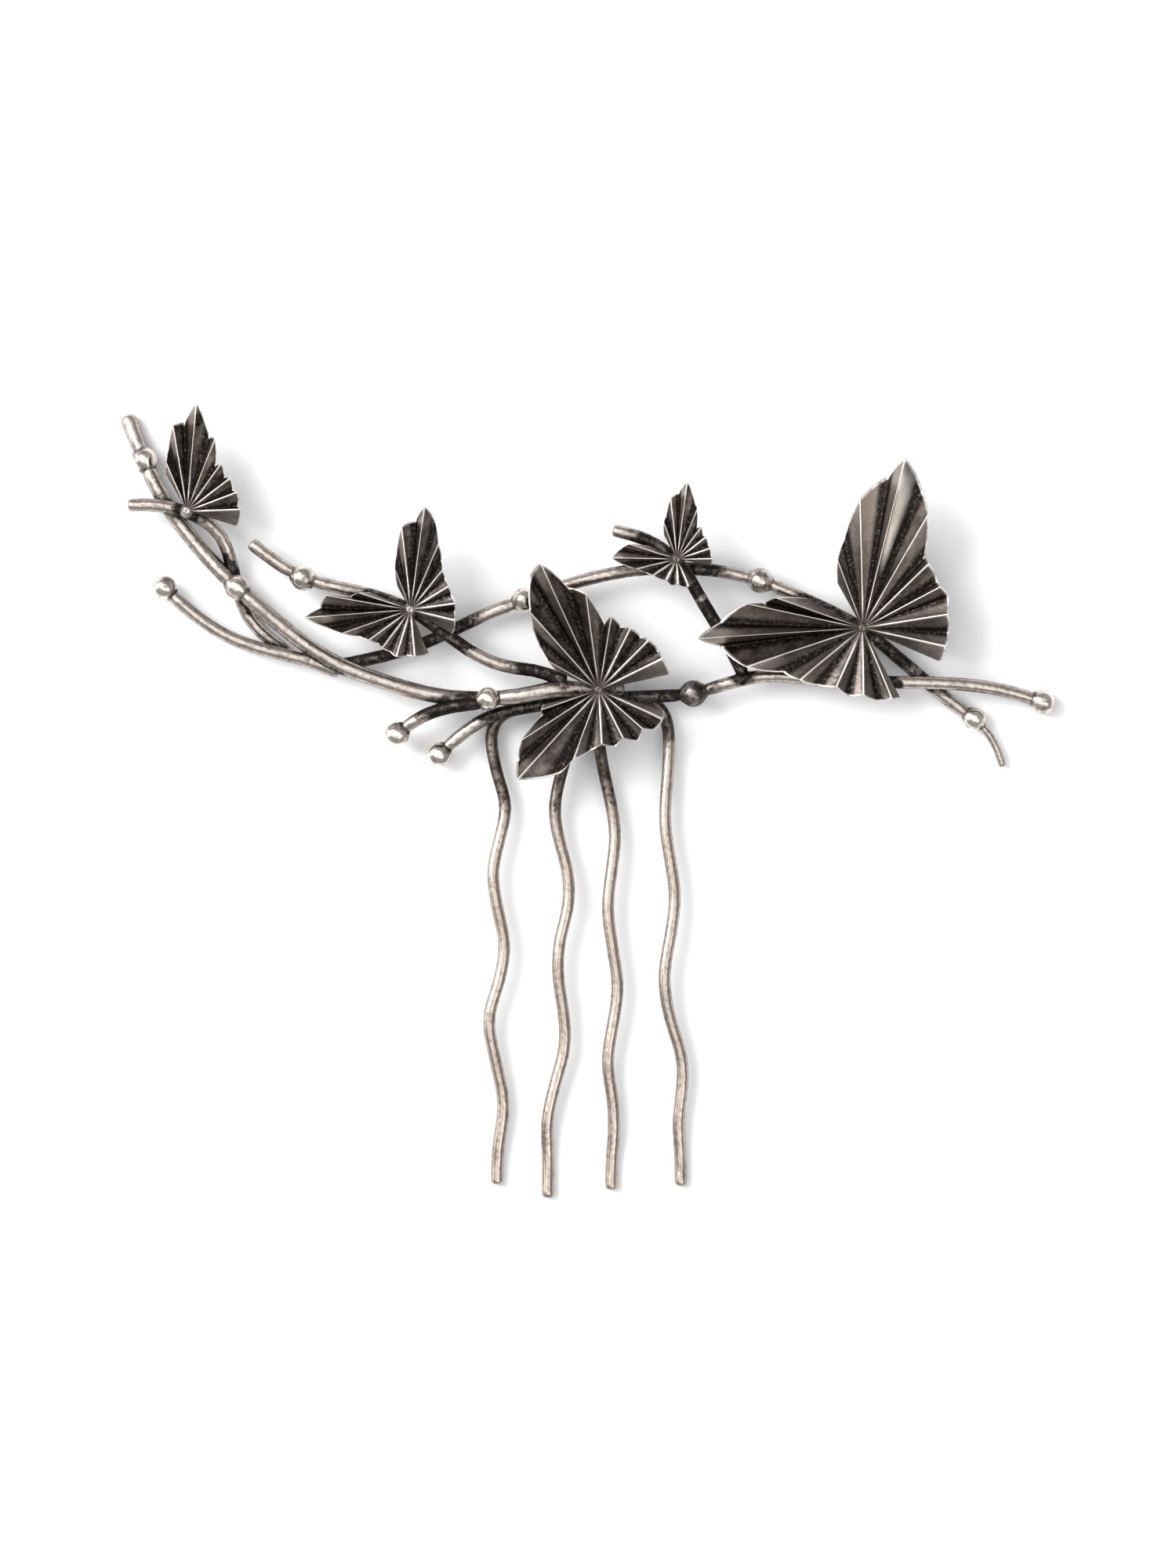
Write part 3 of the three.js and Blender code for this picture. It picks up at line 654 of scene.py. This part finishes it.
def blended(tree, factor, low, high):
    """A colour from low to high, each a colour or another node's output."""
    node = tree.nodes.new("ShaderNodeMix")
    node.data_type = "RGBA"
    tree.links.new(factor, node.inputs["Factor"])
    for socket, value in ((node.inputs["A"], low), (node.inputs["B"], high)):
        if isinstance(value, tuple):
            socket.default_value = (*value, 1.0)
        else:
            tree.links.new(value, socket)
    return node.outputs["Result"]


def bumped(tree, shader, height, strength, depth):
    node = tree.nodes.new("ShaderNodeBump")
    node.inputs["Strength"].default_value = strength
    node.inputs["Distance"].default_value = depth
    tree.links.new(height, node.inputs["Height"])
    tree.links.new(node.outputs[0], shader.inputs["Normal"])


def wire_material(name, bright, dark, patina_and_shade_strength, roughness, side_shade, grain):
    """Silver plate: bright on top, dark in the pits, dark in the joints (patina with painted shade) and
    on the sides and underside (painted shade, partly wear from polishing the top).
    """
    mat, tree, shader = new_material(name)
    blotch = texture(tree, 420.0, 4.0)
    fine = texture(tree, 2600.0, 3.0, 0.7)
    patina_and_shade = ranged(tree, mark(tree, "patina_and_shade"), 0.15, 0.95)
    # The sides and underside are painted darker: painted shade, partly the wear of polishing on top.
    side = maths(tree, "SUBTRACT", 1.0, mark(tree, "upward"))
    dirt_and_shade = maths(tree, "MULTIPLY", patina_and_shade, patina_and_shade_strength)
    dirt_and_shade = maths(tree, "ADD", dirt_and_shade, maths(tree, "MULTIPLY", side, side_shade))
    dirt_and_shade = maths(tree, "ADD", dirt_and_shade, ranged(tree, mark(tree, "pit"), 0.5, 1.0, 0.0, 0.28))
    dirt_and_shade = maths(tree, "ADD", dirt_and_shade, ranged(tree, blotch, 0.3, 0.7, -0.14, 0.16))
    speckle = ranged(tree, fine, 0.4, 0.72, -0.1 * grain, 0.34 * grain)
    dirt_and_shade = maths(tree, "ADD", dirt_and_shade, speckle, clamp=True)
    colour = blended(tree, dirt_and_shade, bright, dark)
    tree.links.new(colour, shader.inputs["Base Color"])
    tree.links.new(ranged(tree, dirt_and_shade, 0.0, 1.0, roughness, roughness + 0.22), shader.inputs["Roughness"])
    bumped(tree, shader, fine, 0.35 * grain, 0.00004)
    return mat


def wing_material(name, panel, crest_colour, lighter):
    """Blackened silver with the ridges and rims polished back to white metal."""
    mat, tree, shader = new_material(name)
    blotch = texture(tree, 900.0, 4.0)
    fine = texture(tree, 3000.0, 3.0, 0.7)
    out = mark(tree, "out")
    tone = maths(tree, "ADD", mark(tree, "tone"), ranged(tree, blotch, 0.3, 0.7, -0.12, 0.12))
    tone = maths(tree, "MULTIPLY", tone, ranged(tree, mark(tree, "valley"), 0.0, 0.8, 1.0, 0.04))
    tone = maths(tree, "MULTIPLY", tone, ranged(tree, out, 0.15, 0.95, 0.3, 1.4))
    tone = maths(tree, "ADD", tone, ranged(tree, fine, 0.5, 0.72, 0.0, 0.3), clamp=True)
    base = blended(tree, tone, panel, lighter)
    base = blended(tree, ranged(tree, out, 0.03, 0.13, 0.8, 0.0), base, (0.14, 0.117, 0.103))
    crest = mark(tree, "crest")
    crest = maths(tree, "MULTIPLY", crest, ranged(tree, fine, 0.2, 0.5, 0.7, 1.0))
    crest = maths(tree, "MULTIPLY", crest, ranged(tree, out, 0.05, 0.16, 0.3, 1.0))
    rim = maths(tree, "MULTIPLY", mark(tree, "rim"), ranged(tree, blotch, 0.3, 0.55, 0.35, 1.0))
    worn = maths(tree, "MAXIMUM", crest, rim, clamp=True)
    colour = blended(tree, worn, base, crest_colour)
    tree.links.new(colour, shader.inputs["Base Color"])
    tree.links.new(ranged(tree, worn, 0.0, 1.0, 0.4, 0.34), shader.inputs["Roughness"])
    bumped(tree, shader, fine, 0.5, 0.00006)
    return mat


def bead_material():
    """Bright silver, brown in its pits, brown round its wires (patina with painted shade) and darker on
    its sides and underside (painted shade, partly wear).
    """
    mat, tree, shader = new_material("bead")
    blotch = texture(tree, 700.0, 3.0)
    fine = texture(tree, 2400.0, 3.0, 0.7)
    # The sides and underside are painted darker: painted shade, partly the wear of polishing on top.
    side = maths(tree, "SUBTRACT", 1.0, mark(tree, "upward"))
    dirt_and_shade = maths(tree, "MULTIPLY", ranged(tree, mark(tree, "patina_and_shade"), 0.2, 1.0), 0.85)
    dirt_and_shade = maths(tree, "ADD", dirt_and_shade, maths(tree, "MULTIPLY", side, 0.22))
    dirt_and_shade = maths(tree, "ADD", dirt_and_shade, ranged(tree, mark(tree, "pit"), 0.5, 1.0, 0.0, 0.3))
    dirt_and_shade = maths(tree, "ADD", dirt_and_shade, ranged(tree, blotch, 0.42, 0.7, -0.1, 0.5), clamp=True)
    colour = blended(tree, dirt_and_shade, (0.74, 0.675, 0.615), (0.075, 0.06, 0.052))
    tree.links.new(colour, shader.inputs["Base Color"])
    tree.links.new(ranged(tree, dirt_and_shade, 0.0, 1.0, 0.2, 0.42), shader.inputs["Roughness"])
    bumped(tree, shader, fine, 0.15, 0.00003)
    return mat


MATERIALS = {
    "tine_wire": wire_material(
        "tine_wire", (0.47, 0.4, 0.345), (0.055, 0.044, 0.037), 0.8, 0.23, 0.6, 0.35
    ),
    "stem_wire": wire_material(
        "stem_wire", (0.55, 0.485, 0.435), (0.035, 0.028, 0.024), 0.8, 0.28, 0.75, 0.8
    ),
    "twig_wire": wire_material(
        "twig_wire", (0.53, 0.465, 0.415), (0.022, 0.018, 0.016), 0.95, 0.28, 0.75, 0.7
    ),
    "bead": bead_material(),
    "pleated_wing": wing_material(
        "pleated_wing", (0.0075, 0.006, 0.005), (0.95, 0.9, 0.85), (0.3, 0.258, 0.23)
    ),
}


def add_pieces():
    made = {}
    for i, name in enumerate(FORKS):
        made[name] = fine_wire(name, FORK_SEED + i, 0.012)
    for i, name in enumerate(WIRES):
        made[name] = fine_wire(name, WIRE_SEED + 3 * i, 0.026)
    for i, name in enumerate(BEADS):
        made[name] = fine_bead(name, BEAD_SEED + 2 * i)
    for i, name in enumerate(WINGS):
        made[name] = fine_butterfly(name, WING_SEED + 40 * i)
    for name, obj in made.items():
        obj.data.materials.append(MATERIALS[SLOTS[name]])


# ---------------------------------------------------------------- floor, light, camera
def add_floor():
    half = 1.5
    corners = [(-half, -half, 0), (half, -half, 0), (half, half, 0), (-half, half, 0)]
    mesh = bpy.data.meshes.new("floor")
    mesh.from_pydata(corners, [], [(0, 1, 2, 3)])
    floor = bpy.data.objects.new("floor", mesh)
    bpy.context.scene.collection.objects.link(floor)
    mat = bpy.data.materials.new("floor")
    mat.use_nodes = True
    inputs = mat.node_tree.nodes["Principled BSDF"].inputs
    inputs["Base Color"].default_value = (0.93, 0.93, 0.93, 1)
    inputs["Roughness"].default_value = 0.9
    inputs["Specular IOR Level"].default_value = 0.1
    mesh.materials.append(mat)


def softbox(name, spot, size, watts):
    """A soft rectangular lamp that is aimed at the comb."""
    light = bpy.data.lights.new(name, "AREA")
    light.shape = "RECTANGLE"
    light.size, light.size_y = size
    light.energy = watts
    obj = bpy.data.objects.new(name, light)
    obj.location = spot
    obj.rotation_euler = (Vector(spot) * -1).to_track_quat("-Z", "Y").to_euler()
    bpy.context.scene.collection.objects.link(obj)


def add_light():
    softbox("key", (-0.95, 0.5, 1.05), (0.85, 0.85), 23)
    softbox("fill", (0.8, -0.5, 1.2), (0.7, 0.7), 3.5)
    softbox("side", (-1.5, 0.25, 0.42), (1.1, 0.6), 4.5)
    softbox("top", (-0.1, 0.05, 1.7), (1.9, 1.9), 14)
    world = bpy.data.worlds.new("studio")
    world.use_nodes = True
    background = world.node_tree.nodes["Background"]
    background.inputs[0].default_value = (1, 1, 1, 1)
    background.inputs[1].default_value = 0.42
    bpy.context.scene.world = world


def add_camera():
    """Straight above the comb, with a picture that is VIEW_HEIGHT tall at the comb."""
    data = bpy.data.cameras.new("camera")
    camera = bpy.data.objects.new("camera", data)
    bpy.context.scene.collection.objects.link(camera)
    data.sensor_width = 36
    data.lens = data.sensor_width * CAMERA_AWAY / VIEW_HEIGHT
    data.clip_end = 10
    camera.location = (0.00002, 0.00201, 1.204)
    bpy.context.scene.camera = camera
    bpy.context.scene.view_settings.view_transform = "Standard"


add_pieces()
add_floor()
add_light()
add_camera()
